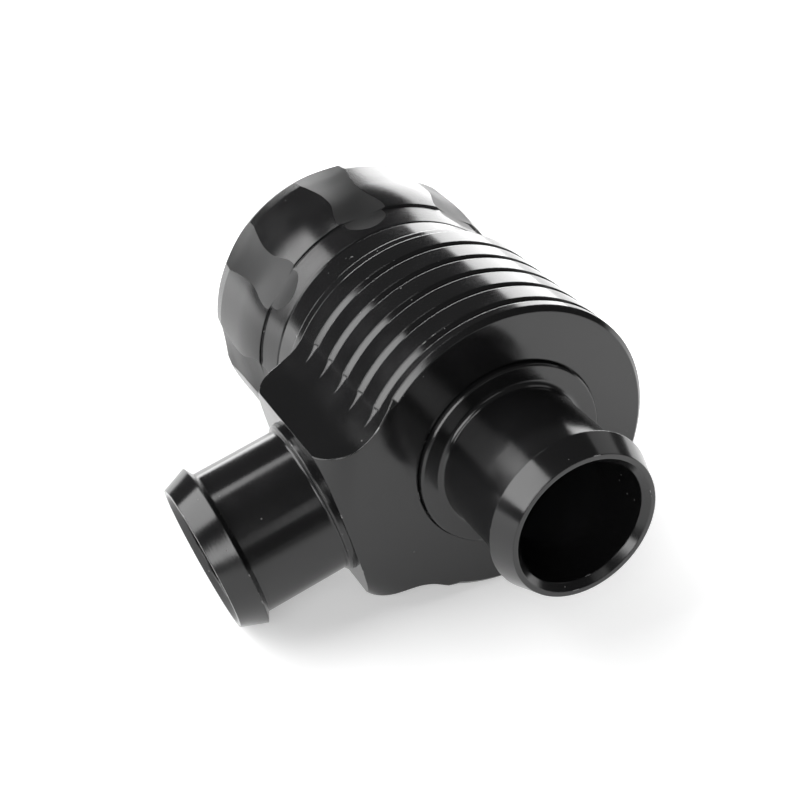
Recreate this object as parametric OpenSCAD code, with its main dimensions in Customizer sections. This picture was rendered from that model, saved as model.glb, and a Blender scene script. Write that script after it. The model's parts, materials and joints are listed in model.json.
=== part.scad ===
// Piston blow off valve, lying at rest on its ribbed body and the bead of its side spigot.
// Row frame: +Y runs from inlet to cap, +Z is up, the side spigot points to -X and slopes down.

/* [Ribbed body] */
// Diameter of the ribbed body
body_d = 51; // [48:0.5:56]
// Height of the ribbed body between its two end faces
body_h = 29.3; // [28.5:0.1:31]
// Height of the side pad's flat above the round body
pad_stand = 3.5; // [2.5:0.25:5.5]
// Width of the side pad
pad_w = 30.6; // [29:0.2:32]
// Radius of the hollow blends from pad to round body
pad_blend_r = 10; // [8:0.25:12]
// Radial allowance of the turned blank that rounds the ends of the pad
blank_over = 7.5; // [7.5:0.25:10]
// Radius of the rounding at both ends of the blank
blank_round_r = 6; // [4:0.25:7]
// Width of the bottom chamfer, measured on the end face
chamfer_w = 0.8; // [0.4:0.1:1.2]
// Height of the bottom chamfer, measured on the side
chamfer_h = 0.7; // [0.4:0.1:1.2]
// Radial step from body to thin shoulder
shoulder_step = 0.5; // [0.25:0.05:1.5]
// Height of the thin shoulder under the neck
shoulder_h = 2.2; // [0.8:0.1:3]
// Radial step from body to neck
neck_step = 2; // [1.75:0.05:2.5]
// Height of the neck's top above the bottom face
neck_top = 38.4; // [36:0.1:41]
// Wall of the neck round the straight bore for the cap's plug
neck_wall = 2.95; // [2.5:0.05:3.5]
// Thickness of the floor that carries the inlet spigot
floor_t = 4; // [3.5:0.1:5]

/* [V grooves] */
// Number of V grooves
groove_n = 5; // [1:1:5]
// Height of the first groove's lower edge above the bottom face
groove_first = 2.15; // [1.6:0.05:3]
// Spacing of the grooves
groove_pitch = 5.42; // [4.6:0.02:5.6]
// Width of a groove at the surface
groove_w = 1.5; // [1:0.1:2.4]
// Depth of a groove
groove_depth = 0.8; // [0.5:0.05:1.3]
// Angle from the pad's axis at which the grooves begin to run out
runout_angle = 47.6; // [46:0.2:50]
// Angle from the pad's axis at which the bottom chamfer begins to run out
chamfer_angle = 54.6; // [50:0.2:58]
// Slope of the run-outs
runout_slope = 16; // [14:0.5:20]

/* [Hose spigots] */
// Outside diameter of both hose spigots
spigot_d = 25; // [24:0.5:25.5]
// Bore of both hose spigots
spigot_bore_d = 21.2; // [19:0.2:21.6]
// Diameter of the hose bead at its shoulder
bead_d = 28.1; // [26.6:0.1:29]
// Diameter of the tapered nose at the mouth
mouth_d = 24.9; // [24.4:0.1:25.4]
// Diameter of the flared mouth inside
mouth_bore_d = 23.3; // [22.2:0.1:23.6]
// Depth of the flare inside the mouth
mouth_flare = 1; // [0.5:0.1:2]
// Length of the tapered nose from mouth to bead shoulder
nose_len = 4.2; // [3:0.1:6]
// Length of the slope behind the bead shoulder
shoulder_back = 0.9; // [0.5:0.1:1.5]
// Length of the inlet spigot below the bottom face
inlet_len = 22.45; // [20:0.25:28]
// Length of the side spigot beyond the pad's flat
outlet_len = 20.7; // [19:0.1:26]
// Height of the side spigot's axis above the bottom face
outlet_z = 14; // [14:0.1:15]
// Diameter of the inlet spigot's flange
inlet_flange_d = 32.4; // [31:0.1:33]
// Diameter of the side spigot's flange
outlet_flange_d = 26.6; // [26.2:0.1:26.8]
// Height by which both flanges stand proud of the body
flange_proud = 1.1; // [0.5:0.1:1.5]
// Depth by which both flanges are let into the body
flange_let_in = 1.6; // [1:0.1:2]
// Width of the open gap round the inlet flange
flange_gap = 0.2; // [0.1:0.05:0.5]
// Chamfer on the edge of both flanges
flange_chamfer = 0.3; // [0.1:0.05:0.5]
// Radius of the fillet between inlet spigot and flange
inlet_root_r = 1; // [0.5:0.05:1.2]
// Radius of the fillet between side spigot and flange
outlet_root_r = 0.5; // [0.2:0.05:0.5]
// Wall of the inlet spigot's pressed stem
inlet_stem_wall = 2.9; // [2.4:0.1:3.4]
// Wall of the side spigot's pressed stem
outlet_stem_wall = 1.8; // [1.6:0.05:1.9]
// Height of the inlet seat above the chamber floor
seat_h = 0.6; // [0.3:0.1:1]
// Distance from the chamber's wall to the side spigot's stem
stem_back = 4.4; // [4:0.1:4.8]
// Room left behind the side spigot's stem
stem_room = 0.4; // [0.2:0.05:0.6]
// Diameter of the side port in the chamber wall
port_d = 22; // [21.6:0.1:23]

/* [Screw cap] */
// Radial step from body to the cap's head
head_step = 0; // [0:0.05:0.5]
// Height of the lands' lower edge above the bottom face
land_z = 43.85; // [43:0.1:45]
// Radial step from the lands' lower edge to the flared skirt
land_step = 0.35; // [0.2:0.05:0.6]
// Height at which the swelling lands reach the full cap diameter
swell_z = 51.8; // [50:0.1:54]
// Radius of the swelling lands seen from the side
swell_r = 34; // [30:0.5:60]
// Height at which the rim begins to taper
taper_z = 59.7; // [58:0.1:60.5]
// Height of the rim's upper edge
rim_z = 62.65; // [62:0.05:64]
// Radial taper of the rim
rim_taper = 0.5; // [0.1:0.05:0.7]
// Height of the cap's top face
cap_top = 67.2; // [66:0.1:68]
// Radial slope of the crown behind the rim
crown_in = 2.6; // [2:0.1:4]
// Number of scallops
scallop_n = 8; // [6:1:8]
// Angle of the first scallop round the cap
scallop_phase = -83.5; // [-180:0.5:180]
// Distance from the cap's surface to a scallop's axis
scallop_out = 10.5; // [10:0.1:11]
// Radius of the scallop's round foot seen from the side
scallop_foot_r = 10.7; // [10:0.1:11.4]
// Depth of the scallop's foot under the full cap diameter
scallop_foot_depth = 2.2; // [2:0.05:2.4]
// Height of the scallop's deepest point at its foot
scallop_foot_z = 43; // [42.5:0.1:43.5]
// Depth of the scallop at its waist
scallop_waist_depth = 0.65; // [0.5:0.05:0.8]
// Height of the scallop's waist
scallop_waist_z = 50; // [49:0.1:51]
// Depth of the scallop at the rim, under the full cap diameter
scallop_rim_depth = 1.7; // [1.4:0.05:2]
// Radius of the blend from round foot to scallop waist
scallop_blend_r = 8; // [6:0.25:10]
// Height of the plug's lower end above the bottom face
plug_z = 25.6; // [25:0.1:27]
// Height of the thread's lower end above the bottom face
thread_z = 27; // [26.8:0.1:28]
// Length of the thread on the cap's plug
thread_len = 7; // [5:0.25:7]
// Depth of the thread on the cap's plug
thread_depth = 0.6; // [0.4:0.05:0.8]
// Bore of the cap in which the piston slides
cylinder_d = 33; // [32:0.1:33.4]
// Height of the cap's inner roof
roof_z = 59.5; // [58:0.1:61]
// Small chamfer on both edges of the seam
seam_chamfer = 0.3; // [0.1:0.05:0.5]

/* [Piston and spring] */
// Radial running clearance of the piston in the cap
piston_play = 0.05; // [0.02:0.01:0.1]
// Height of the piston's nose above the inlet seat
nose_gap = 0.25; // [0.1:0.05:0.4]
// Length of the piston
piston_len = 28.4; // [27:0.1:30]
// Thickness of the piston's closed nose
nose_t = 4.2; // [3.5:0.1:5]
// Bore of the piston
piston_bore_d = 26.4; // [25.5:0.1:27]
// Chamfer on the piston's nose
nose_chamfer = 2; // [1:0.1:2.4]
// Distance from the piston's top to its upper ring seal
ring_drop = 2.4; // [2:0.1:3]
// Spacing of the piston's two ring seals
ring_pitch = 3.6; // [3:0.1:4]
// Diameter of the spring's wire
wire_d = 2; // [1.5:0.1:2.4]
// Mean diameter of the spring's coils
coil_d = 21; // [19:0.5:22]
// Number of open coils
coil_n = 6; // [4:1:7]
// Thickness of the shim above the spring
shim_t = 1.5; // [1:0.1:2]
// Diameter of the shim above the spring
shim_d = 27; // [25:0.5:30]
// Hole in the shim above the spring
shim_hole_d = 12; // [9:0.5:16]

/* [Seals] */
// Cord diameter of the piston's ring seals
ring_cord = 1.8; // [1.5:0.1:2]
// Cord diameter of the seal in the piston's nose
nose_cord = 1.8; // [1.5:0.1:2]
// Cord diameter of the seal on the inlet spigot
inlet_cord = 1.3; // [1:0.1:1.5]
// Cord diameter of the seal on the side spigot
outlet_cord = 1.1; // [1:0.1:1.2]
// Cord diameter of the seal on the cap
cap_cord = 1.6; // [1.4:0.1:1.8]
// Height of the cap's seal above the bottom face
cap_seal_z = 36.2; // [35.5:0.1:36.6]
// Clearance between a seal and the walls of its groove
seal_play = 0.04; // [0.02:0.01:0.06]
// Radial clearance of pressed and screwed fits
fit_play = 0.05; // [0.02:0.01:0.08]

/* [Vacuum nipple] */
// Width across the flats of the nipple's hexagon
nipple_hex = 10; // [9:0.5:12]
// Height of the nipple's hexagon
nipple_hex_h = 4; // [3:0.25:5]
// Diameter of the nipple's stem in the cap
nipple_stem_d = 6; // [5.5:0.1:7]
// Diameter of the nipple's hose shank
nipple_d = 4.8; // [4.4:0.1:5.4]
// Diameter of the nipple's barb
barb_d = 6; // [5.6:0.1:6.6]
// Diameter of the nipple's tip
tip_d = 4.2; // [3.8:0.1:4.4]
// Length of the nipple's shank up to its barb
shank_len = 6; // [4:0.25:8]
// Length of the nipple's barb
barb_len = 4; // [3:0.25:5]
// Bore of the nipple
nipple_bore_d = 2.8; // [2:0.1:3]
// Thickness of the sealing washer under the nipple
washer_t = 1; // [0.8:0.1:1.5]
// Outside diameter of the sealing washer under the nipple
washer_d = 10; // [9.5:0.1:11]

/* [Hidden] */
$fn = 96;
body_r = body_d / 2;
pad_reach = body_r + pad_stand;
blank_r = body_r + blank_over;
shoulder_d = body_d - 2 * shoulder_step;
neck_d = body_d - 2 * neck_step;
chamber_d = neck_d - 2 * neck_wall;
plug_d = chamber_d - 2 * fit_play;
cap_r = body_r - head_step;
rim_r = cap_r - rim_taper;
land_r = cap_r - swell_r + sqrt(pow(swell_r, 2) - pow(swell_z - land_z, 2));
scallop_reach = cap_r + scallop_out;
inlet_stem_d = spigot_bore_d + 2 * inlet_stem_wall;
outlet_stem_d = spigot_bore_d + 2 * outlet_stem_wall;
runout_lap = runout_slope / 16;
runout_in = groove_depth / 16;
runout_share = 0.9;
outlet_end = pad_reach + outlet_len;
bead_reach = outlet_end - nose_len;
rest_reach = sqrt(pow(bead_reach, 2) + pow(bead_d / 2, 2));
rest_tilt = asin(body_r / rest_reach) - atan2(bead_d / 2, bead_reach);
seat_z = floor_t + seat_h;
piston_z = seat_z + nose_gap;
piston_r = cylinder_d / 2 - piston_play;
pocket_z = piston_z + nose_t;
spring_top = roof_z - shim_t;
nipple_top = cap_top + washer_t + nipple_hex_h + shank_len + barb_len;
side_reach = outlet_end * cos(rest_tilt) + mouth_d / 2 * sin(rest_tilt);
origin_x = (side_reach - body_r) / 2;
origin_y = (inlet_len - nipple_top) / 2;
blend_y = pad_w / 2 + pad_blend_r;
blend_x = sqrt(pow(body_r + pad_blend_r, 2) - pow(blend_y, 2));
stem_in = sqrt(pow(chamber_d / 2, 2) - pow(outlet_stem_d / 2, 2)) + stem_back;
stem_mid = (stem_in + pad_reach - flange_let_in) / 2;
scallop_waist_r = scallop_out + scallop_waist_depth;
scallop_foot_in = scallop_out + scallop_foot_depth - scallop_foot_r;
flare = (scallop_rim_depth - scallop_waist_depth) / (rim_z - scallop_waist_z);
flare_a = atan(flare);

// Turns the upright valve onto its resting place
module lay() {
    translate([origin_x, origin_y, body_r])
        rotate([-90, 0, 0])
            rotate([0, 0, -rest_tilt])
                children();
}

// Points a turned piece along the side spigot, seen from the pad's flat
module sideways() {
    translate([0, 0, outlet_z])
        rotate([0, -90, 0])
            children();
}

// Hollow corner between two outlines, kept outside a circle
module blend(centre, radius, one, two) {
    difference() {
        polygon([centre, one, two]);
        translate(centre)
            circle(radius);
    }
}

// Plain round cord
module cord_ring(mean_r, cord, z) {
    translate([0, 0, z])
        rotate_extrude()
            translate([mean_r, 0])
                circle(d = cord, $fn = 48);
}

// Square groove for a round cord, open to the outside of a stem
module cord_groove(stem_r, cord, z) {
    width = cord + 4 * seal_play;
    translate([0, 0, z - width / 2])
        difference() {
            cylinder(h = width, r = stem_r + 1);
            translate([0, 0, -1])
                cylinder(h = width + 2, r = stem_r - cord);
        }
}

// Outline of the body seen along the main axis
module body_plan() {
    circle(body_r);
    translate([-pad_reach, -pad_w / 2])
        square([pad_reach, pad_w]);
    for (side = [-1, 1])
        scale([1, side])
            blend([-blend_x, blend_y], pad_blend_r, [-blend_x, pad_w / 2 - 4],
                [-blend_x, blend_y] * (body_r - 4) / (body_r + pad_blend_r));
}

// Half section of the turned blank with rounded ends
module blank_section() {
    inner = blank_r - blank_round_r;
    square([inner, body_h]);
    translate([0, blank_round_r])
        square([blank_r, body_h - 2 * blank_round_r]);
    for (z = [blank_round_r, body_h - blank_round_r])
        translate([inner, z])
            circle(blank_round_r);
}

// Turned cut round the body that runs out towards the pad at both ends
module runout_cut(floor_r, from) {
    rise = sin(runout_slope);
    exit = floor_r * (sqrt(pow(rise, 2) + 2 * (body_r - floor_r) / floor_r) - rise) + 2 * groove_depth;
    rotate([0, 0, 180 + from - runout_lap])
        rotate_extrude(angle = 360 - 2 * (from - runout_lap))
            children(0);
    for (side = [0, 1])
        mirror([0, side, 0])
            rotate([0, 0, 180 - from])
                translate([floor_r, 0, 0])
                    rotate([0, 0, -runout_slope])
                        translate([-floor_r, exit, 0])
                            rotate([90, 0, 0])
                                linear_extrude(exit - runout_in)
                                    children(1);
}

// Section of one V groove
module groove_section(z, share) {
    slope = share * groove_w / 2 / groove_depth;
    polygon([[body_r - groove_depth, z + groove_w / 2],
        [body_r + 1, z + groove_w / 2 - slope * (groove_depth + 1)],
        [body_r + 1, z + groove_w / 2 + slope * (groove_depth + 1)]]);
}

// Section of the bottom chamfer
module chamfer_section(share) {
    slope = share * chamfer_h / chamfer_w;
    polygon([[body_r - chamfer_w - 1 / slope, -1],
        [body_r + 1, -1],
        [body_r + 1, chamfer_h + slope]]);
}

// Ribbed body with side pad, neck and straight chamber
module valve_body() {
    color("#1c1c1e")
        lay()
            difference() {
                union() {
                    intersection() {
                        linear_extrude(body_h)
                            body_plan();
                        rotate_extrude()
                            blank_section();
                    }
                    translate([0, 0, body_h - 1])
                        cylinder(h = shoulder_h + 1, d = shoulder_d);
                    translate([0, 0, body_h])
                        cylinder(h = neck_top - seam_chamfer - body_h, d = neck_d);
                    translate([0, 0, neck_top - seam_chamfer])
                        cylinder(h = seam_chamfer, d1 = neck_d, d2 = neck_d - 2 * seam_chamfer);
                }
                for (k = [0 : groove_n - 1])
                    runout_cut(body_r - groove_depth, runout_angle) {
                        groove_section(groove_first + k * groove_pitch, 1);
                        groove_section(groove_first + k * groove_pitch, runout_share);
                    }
                runout_cut(body_r - chamfer_w, chamfer_angle) {
                    chamfer_section(1);
                    chamfer_section(runout_share);
                }
                translate([0, 0, floor_t])
                    cylinder(h = neck_top, d = chamber_d);
                translate([0, 0, -1])
                    cylinder(h = floor_t + 2, d = inlet_stem_d + 2 * fit_play);
                translate([0, 0, -1])
                    cylinder(h = flange_let_in + 1, d = inlet_flange_d + 2 * flange_gap);
                sideways() {
                    cylinder(h = pad_reach + 1, d = port_d);
                    translate([0, 0, stem_in - stem_room])
                        cylinder(h = pad_reach, d = outlet_stem_d + 2 * fit_play);
                    translate([0, 0, pad_reach - flange_let_in])
                        cylinder(h = flange_let_in + 1, d = outlet_flange_d + 2 * fit_play);
                }
            }
}

// Half section of a spigot, mouth at height 0, flange face at the given length
module spigot_section(length, flange_d, root_r, stem_d, stem_len) {
    face = length - flange_proud;
    bed = length + flange_let_in;
    foot = bed + stem_len;
    difference() {
        polygon([[0, 0],
            [mouth_d / 2, 0],
            [bead_d / 2, nose_len],
            [spigot_d / 2, nose_len + shoulder_back],
            [spigot_d / 2, face - root_r],
            [spigot_d / 2 + root_r, face - root_r],
            [spigot_d / 2 + root_r, face],
            [flange_d / 2 - flange_chamfer, face],
            [flange_d / 2, face + flange_chamfer],
            [flange_d / 2, bed],
            [stem_d / 2, bed],
            [stem_d / 2, foot],
            [0, foot]]);
        translate([spigot_d / 2 + root_r, face - root_r])
            circle(root_r);
        polygon([[-1, -1],
            [mouth_bore_d / 2, -1],
            [mouth_bore_d / 2, 0],
            [spigot_bore_d / 2, mouth_flare],
            [spigot_bore_d / 2, foot + 1],
            [-1, foot + 1]]);
    }
}

// Inlet spigot whose inner end is the valve seat
module inlet_spigot() {
    color("#1f1f21")
        lay()
            difference() {
                translate([0, 0, -inlet_len])
                    rotate_extrude()
                        spigot_section(inlet_len, inlet_flange_d, inlet_root_r, inlet_stem_d,
                            seat_z - flange_let_in);
                cord_groove(inlet_stem_d / 2, inlet_cord, (flange_let_in + floor_t) / 2);
            }
}

// Round seal on the inlet spigot's stem
module inlet_spigot_seal() {
    color("#141414")
        lay()
            cord_ring(inlet_stem_d / 2 - inlet_cord / 2 + seal_play, inlet_cord,
                (flange_let_in + floor_t) / 2);
}

// Side spigot towards the recirculation hose
module outlet_spigot() {
    color("#1f1f21")
        lay()
            sideways()
                difference() {
                    translate([0, 0, outlet_end])
                        mirror([0, 0, 1])
                            rotate_extrude()
                                spigot_section(outlet_len, outlet_flange_d, outlet_root_r, outlet_stem_d,
                                    pad_reach - flange_let_in - stem_in);
                    cord_groove(outlet_stem_d / 2, outlet_cord, stem_mid);
                }
}

// Round seal on the side spigot's stem
module outlet_spigot_seal() {
    color("#141414")
        lay()
            sideways()
                cord_ring(outlet_stem_d / 2 - outlet_cord / 2 + seal_play, outlet_cord, stem_mid);
}

// Half section of the cap without its scallops
module cap_section() {
    difference() {
        union() {
            translate([0, plug_z])
                square([plug_d / 2, rim_z - plug_z]);
            polygon([[0, neck_top],
                [neck_d / 2 - seam_chamfer, neck_top],
                [neck_d / 2, neck_top + seam_chamfer],
                [land_r - land_step, land_z],
                [0, land_z]]);
            intersection() {
                translate([0, land_z])
                    square([cap_r, swell_z - land_z]);
                translate([cap_r - swell_r, swell_z])
                    circle(swell_r, $fn = 360);
            }
            polygon([[0, swell_z],
                [cap_r, swell_z],
                [cap_r, taper_z],
                [rim_r, rim_z],
                [rim_r - crown_in, cap_top],
                [0, cap_top]]);
        }
        translate([-1, plug_z - 1])
            square([cylinder_d / 2 + 1, roof_z - plug_z + 1]);
        translate([-1, roof_z])
            square([nipple_stem_d / 2 + fit_play + 1, cap_top]);
        translate([plug_d / 2 - thread_depth, thread_z])
            square([2 * thread_depth, thread_len]);
    }
}

// Half section of the cutter for one scallop
module scallop_section() {
    foot = [scallop_foot_in, scallop_foot_z];
    mid = [scallop_waist_r, scallop_waist_z];
    side = [cos(flare_a), -sin(flare_a)];
    along = [sin(flare_a), cos(flare_a)];
    from_foot = mid + side * scallop_blend_r - foot;
    near = from_foot * along;
    span = sqrt(pow(scallop_foot_r + scallop_blend_r, 2) - pow(from_foot * side, 2));
    hub = mid + side * scallop_blend_r + along * (span - near);
    toward = (hub - foot) / (scallop_foot_r + scallop_blend_r);
    intersection() {
        translate([0, plug_z])
            square([scallop_reach, cap_top]);
        union() {
            translate(foot)
                circle(scallop_foot_r);
            polygon([[0, scallop_foot_z],
                [scallop_waist_r + flare * (scallop_foot_z + 1 - scallop_waist_z), scallop_foot_z + 1],
                [scallop_waist_r + flare * (cap_top + 2 - scallop_waist_z), cap_top + 2],
                [0, cap_top + 2]]);
            blend(hub, scallop_blend_r, hub - side * (scallop_blend_r + 1.5),
                foot + toward * (scallop_foot_r - 1.5));
        }
    }
}

// Scalloped screw cap with the piston's cylinder inside its plug
module top_cap() {
    color("#18181a")
        lay()
            difference() {
                rotate_extrude()
                    cap_section();
                for (k = [0 : scallop_n - 1])
                    rotate([0, 0, scallop_phase + k * 360 / scallop_n])
                        translate([scallop_reach, 0, 0])
                            rotate_extrude()
                                scallop_section();
                cord_groove(plug_d / 2, cap_cord, cap_seal_z);
            }
}

// Round seal between plug and neck
module cap_seal() {
    color("#141414")
        lay()
            cord_ring(plug_d / 2 - cap_cord / 2 + seal_play, cap_cord, cap_seal_z);
}

// Barbed nipple for the vacuum hose
module vacuum_nipple() {
    foot = cap_top + washer_t;
    shank = foot + nipple_hex_h;
    color("#242426")
        lay()
            difference() {
                union() {
                    translate([0, 0, roof_z + 1])
                        cylinder(h = foot - roof_z, d = nipple_stem_d);
                    translate([0, 0, foot])
                        cylinder(h = nipple_hex_h, d = nipple_hex / cos(30), $fn = 6);
                    translate([0, 0, foot])
                        cylinder(h = nipple_hex_h + shank_len + 0.5, d = nipple_d);
                    translate([0, 0, shank + shank_len])
                        cylinder(h = barb_len, d1 = barb_d, d2 = tip_d);
                }
                translate([0, 0, roof_z])
                    cylinder(h = nipple_top, d = nipple_bore_d);
            }
}

// Sealing washer under the nipple
module nipple_washer() {
    color("#6d6f72")
        lay()
            translate([0, 0, cap_top])
                difference() {
                    cylinder(h = washer_t, d = washer_d);
                    translate([0, 0, -1])
                        cylinder(h = washer_t + 2, d = nipple_stem_d + 2 * fit_play);
                }
}

// Cup-shaped piston with grooves for its seals
module piston() {
    top = piston_z + piston_len;
    color("#9a9ca0")
        lay()
            difference() {
                union() {
                    translate([0, 0, piston_z])
                        cylinder(h = nose_chamfer, r1 = piston_r - nose_chamfer, r2 = piston_r);
                    translate([0, 0, piston_z + nose_chamfer])
                        cylinder(h = piston_len - nose_chamfer, r = piston_r);
                }
                translate([0, 0, pocket_z])
                    cylinder(h = piston_len, d = piston_bore_d);
                for (k = [0, 1])
                    cord_groove(piston_r, ring_cord, top - ring_drop - k * ring_pitch);
                translate([0, 0, piston_z - 1])
                    difference() {
                        cylinder(h = 1 + nose_cord - nose_gap + 2 * seal_play,
                            r = (inlet_stem_d + spigot_bore_d) / 4 + nose_cord / 2 + seal_play);
                        translate([0, 0, -1])
                            cylinder(h = 4 + nose_cord,
                                r = (inlet_stem_d + spigot_bore_d) / 4 - nose_cord / 2 - seal_play);
                    }
            }
}

// Lower ring seal of the piston
module piston_ring_lower() {
    color("#141414")
        lay()
            cord_ring(piston_r - ring_cord / 2 + seal_play, ring_cord,
                piston_z + piston_len - ring_drop - ring_pitch);
}

// Upper ring seal of the piston
module piston_ring_upper() {
    color("#141414")
        lay()
            cord_ring(piston_r - ring_cord / 2 + seal_play, ring_cord, piston_z + piston_len - ring_drop);
}

// Round seal in the piston's nose, pressed on the inlet seat
module piston_nose_seal() {
    color("#141414")
        lay()
            cord_ring((inlet_stem_d + spigot_bore_d) / 4, nose_cord, seat_z + nose_cord / 2 + seal_play);
}

// Height along the spring after a number of turns, with closed coils at both ends
function spring_height(turn) =
    let(free = spring_top - pocket_z - 3 * wire_d)
    let(open = min(max(turn - 1, 0), coil_n))
    let(closed = min(turn, 1) + max(turn - 1 - coil_n, 0))
    pocket_z + wire_d / 2 + closed * wire_d + open * free / coil_n;

// One corner of the spring's wire
function wire_corner(turn, corner) =
    let(reach = coil_d / 2 + wire_d / 2 * cos(corner))
    [reach * cos(360 * turn), reach * sin(360 * turn),
        spring_height(turn) + wire_d / 2 * sin(corner)];

// Coil spring that presses the piston on its seat
module return_spring() {
    steps = 20;
    sides = 8;
    rings = (coil_n + 2) * steps;
    color("#b9bbbe")
        lay()
            polyhedron(
                points = [for (i = [0 : rings], j = [0 : sides - 1])
                    wire_corner(i / steps, 360 * (j + 0.5) / sides)],
                faces = concat(
                    [for (i = [0 : rings - 1], j = [0 : sides - 1])
                        [i * sides + j, i * sides + (j + 1) % sides,
                            (i + 1) * sides + (j + 1) % sides]],
                    [for (i = [0 : rings - 1], j = [0 : sides - 1])
                        [i * sides + j, (i + 1) * sides + (j + 1) % sides,
                            (i + 1) * sides + j]],
                    [[for (j = [sides - 1 : -1 : 0]) j]],
                    [[for (j = [0 : sides - 1]) rings * sides + j]]));
}

// Shim that sets the spring's preload under the cap's roof
module spring_shim() {
    color("#8a8c90")
        lay()
            translate([0, 0, spring_top])
                difference() {
                    cylinder(h = shim_t, d = shim_d);
                    translate([0, 0, -1])
                        cylinder(h = shim_t + 2, d = shim_hole_d);
                }
}

valve_body();
inlet_spigot();
inlet_spigot_seal();
outlet_spigot();
outlet_spigot_seal();
top_cap();
cap_seal();
vacuum_nipple();
nipple_washer();
piston();
piston_ring_lower();
piston_ring_upper();
piston_nose_seal();
return_spring();
spring_shim();
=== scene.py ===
"""Dresses the blow off valve: black anodise, return spring, scalloped cap, thread and studio."""

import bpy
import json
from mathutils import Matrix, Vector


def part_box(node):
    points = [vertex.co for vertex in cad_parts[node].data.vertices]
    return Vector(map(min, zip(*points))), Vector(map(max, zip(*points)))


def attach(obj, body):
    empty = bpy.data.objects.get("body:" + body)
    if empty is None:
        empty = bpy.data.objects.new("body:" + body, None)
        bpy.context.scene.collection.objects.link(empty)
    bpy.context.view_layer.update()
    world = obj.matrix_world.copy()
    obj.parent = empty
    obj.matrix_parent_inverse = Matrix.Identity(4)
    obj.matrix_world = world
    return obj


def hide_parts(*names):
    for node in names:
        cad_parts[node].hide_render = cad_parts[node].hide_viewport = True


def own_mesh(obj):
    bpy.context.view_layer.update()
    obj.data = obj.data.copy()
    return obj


bl_info = {
    "name": "Blow Off Valve",
    "version": (1, 0, 0),
    "blender": (4, 5, 0),
    "location": "View3D > Sidebar > Valve",
    "description": "Finishes the valve, winds its spring, mills its cap and sets up the studio",
    "category": "Object",
}

import json
import math

import bmesh
import bpy
from bpy.props import FloatProperty, FloatVectorProperty, IntProperty, PointerProperty
from mathutils import Matrix, Quaternion, Vector

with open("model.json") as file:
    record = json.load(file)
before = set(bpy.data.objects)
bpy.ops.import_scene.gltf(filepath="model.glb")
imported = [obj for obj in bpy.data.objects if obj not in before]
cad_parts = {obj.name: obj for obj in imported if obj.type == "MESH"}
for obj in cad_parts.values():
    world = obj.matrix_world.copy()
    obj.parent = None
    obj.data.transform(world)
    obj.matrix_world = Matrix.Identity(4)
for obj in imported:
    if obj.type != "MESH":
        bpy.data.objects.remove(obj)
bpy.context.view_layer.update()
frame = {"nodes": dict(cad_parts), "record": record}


def mount(name):
    """Return one mount of the record by its name."""
    return next(m for m in frame["record"]["mounts"] if m["name"] == name)


SIDE_AXIS = Vector(mount("outlet_port")["axis"])
SIDE_POINT = Vector(mount("outlet_port")["pos_m"])
PISTON_LOW, PISTON_HIGH = (Vector(corner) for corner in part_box("piston"))
MAIN_AXIS = Vector((0, 1, 0))
MAIN_POINT = Vector(((PISTON_LOW.x + PISTON_HIGH.x) / 2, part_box("valve_body")[0][1],
                     (PISTON_LOW.z + PISTON_HIGH.z) / 2))
# From the valve's own axes to the scene: its z runs from the body's inlet face up to the cap,
# and its side spigot points along -x
VALVE = Matrix(((-SIDE_AXIS.x, -SIDE_AXIS.z, 0, MAIN_POINT.x),
                (0, 0, 1, MAIN_POINT.y),
                (-SIDE_AXIS.z, SIDE_AXIS.x, 0, MAIN_POINT.z),
                (0, 0, 0, 1)))
MILLIMETRE = 0.001


# ---------------------------------------------------------------- settings

class ValveFinish(bpy.types.PropertyGroup):
    """Finish of the turned pieces."""
    black: FloatVectorProperty(
        name="Black anodise", description="Colour of the anodised skin",
        subtype="COLOR", size=3, min=0, max=1, default=(0.0065, 0.0065, 0.0068))
    bare: FloatVectorProperty(
        name="Bare metal", description="Colour of chipped edges",
        subtype="COLOR", size=3, min=0, max=1, default=(0.5, 0.5, 0.5))
    dust: FloatVectorProperty(
        name="Dust", description="Colour of dust specks",
        subtype="COLOR", size=3, min=0, max=1, default=(0.09, 0.09, 0.088))
    satin: FloatProperty(
        name="Satin roughness", description="Middle roughness of the anodised skin",
        subtype="FACTOR", min=0.05, max=0.8, default=0.18)
    brushed: FloatProperty(
        name="Brushed", description="How far the turning marks draw out highlights",
        subtype="FACTOR", min=0, max=1, default=0.5)
    edge: FloatProperty(
        name="Edge radius", description="Radius of the broken edges",
        unit="LENGTH", min=0, max=0.001, default=0.0003, precision=5)
    mark_pitch: FloatProperty(
        name="Turning mark", description="Spacing of the turning marks",
        unit="LENGTH", min=0.00005, max=0.001, default=0.0003, precision=5)


class ValveSpring(bpy.types.PropertyGroup):
    """Coil spring under the cap."""
    wire: FloatProperty(
        name="Wire", description="Diameter of the spring's wire",
        unit="LENGTH", min=0.001, max=0.003, default=0.002, precision=4)
    open_coils: IntProperty(
        name="Open coils", description="Number of open coils", min=3, max=9, default=6)


class ValveThread(bpy.types.PropertyGroup):
    """Screw thread on the cap's plug."""
    pitch: FloatProperty(
        name="Pitch", description="Rise of the thread in one turn",
        unit="LENGTH", min=0.001, max=0.003, default=0.0015, precision=4)
    length: FloatProperty(
        name="Length", description="Length of the thread along the plug",
        unit="LENGTH", min=0.003, max=0.007, default=0.007, precision=4)
    start: FloatProperty(
        name="Start", description="Distance from the plug's lower end to the thread",
        unit="LENGTH", min=0.001, max=0.003, default=0.0014, precision=4)
    depth: FloatProperty(
        name="Depth", description="Depth of the thread",
        unit="LENGTH", min=0.0003, max=0.0008, default=0.0006, precision=4)
    room: FloatProperty(
        name="Room", description="Clearance between the thread's crest and the neck",
        unit="LENGTH", min=0.00005, max=0.0003, default=0.0001, precision=5)


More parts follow.
